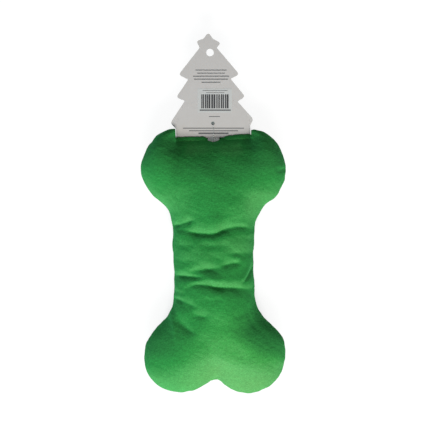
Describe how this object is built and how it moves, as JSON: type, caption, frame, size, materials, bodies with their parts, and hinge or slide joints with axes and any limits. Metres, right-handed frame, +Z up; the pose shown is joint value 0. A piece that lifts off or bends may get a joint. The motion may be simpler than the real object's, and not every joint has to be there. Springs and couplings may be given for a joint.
{
  "type": "stuffed bone-shaped dog toy",
  "caption": "Stuffed plush dog toy shaped as a bone with rounded knuckles, a squeaker inside its shaft, and a tree-shaped card swing tag that swings on a plastic pin",
  "frame": {"origin": "on the surface that the toy lies on, under the middle of the shaft, in the flat of the front panel", "axes": "+Y runs along the bone to the end that carries the swing tag, +Z points up out of the back panel, and +X is to the right when the back is seen from above with the tag at the top"},
  "size_m": [0.164, 0.4067, 0.058],
  "materials": {
    "plush": "short dense pile",
    "fibre": "loose polyester fibre",
    "thread": "spun polyester",
    "card": "uncoated board",
    "label": "semi-gloss label paper",
    "clear_plastic": "clear nylon",
    "squeaker": "soft moulded plastic",
    "reed": "thin smooth sheet"
  },
  "bodies": {
    "stuffed_bone": {"back_panel": "plush", "front_panel": "plush", "seam_thread": "thread", "closing_thread": "thread", "filling_tag_end_right": "fibre", "filling_tag_end_left": "fibre", "filling_far_end_right": "fibre", "filling_far_end_left": "fibre", "filling_shaft_back": "fibre", "filling_shaft_front": "fibre", "squeaker_base": "squeaker", "squeaker_bellows": "squeaker", "reed_plug": "squeaker", "reed_wedge": "squeaker"},
    "squeaker_cap": {"squeaker_top": "squeaker"},
    "reed_tongue": {"reed": "reed"},
    "hang_tag": {"tag_card": "card", "tag_sticker": "label", "tag_pin": "clear_plastic"}
  },
  "joints": [
    {"name": "tag_swing", "type": "hinge", "parent": "stuffed_bone", "child": "hang_tag", "pos_m": [0, 0.1387, 0.028], "axis": [0.9992, 0.041, 0], "range_deg": [-78, 78], "deforming": ["tag_pin"]},
    {"name": "squeaker_press", "type": "slide", "parent": "stuffed_bone", "child": "squeaker_cap", "axis": [0, 0, -1], "range_m": [0, 0.008], "stiffness_N_per_m": 400, "deforming": ["squeaker_bellows"]},
    {"name": "reed_flutter", "type": "hinge", "parent": "stuffed_bone", "child": "reed_tongue", "pos_m": [-0.002, 0, 0.02265], "axis": [0, 1, 0], "range_deg": [-2, 2], "stiffness_Nm_per_rad": 0.00001}
  ]
}
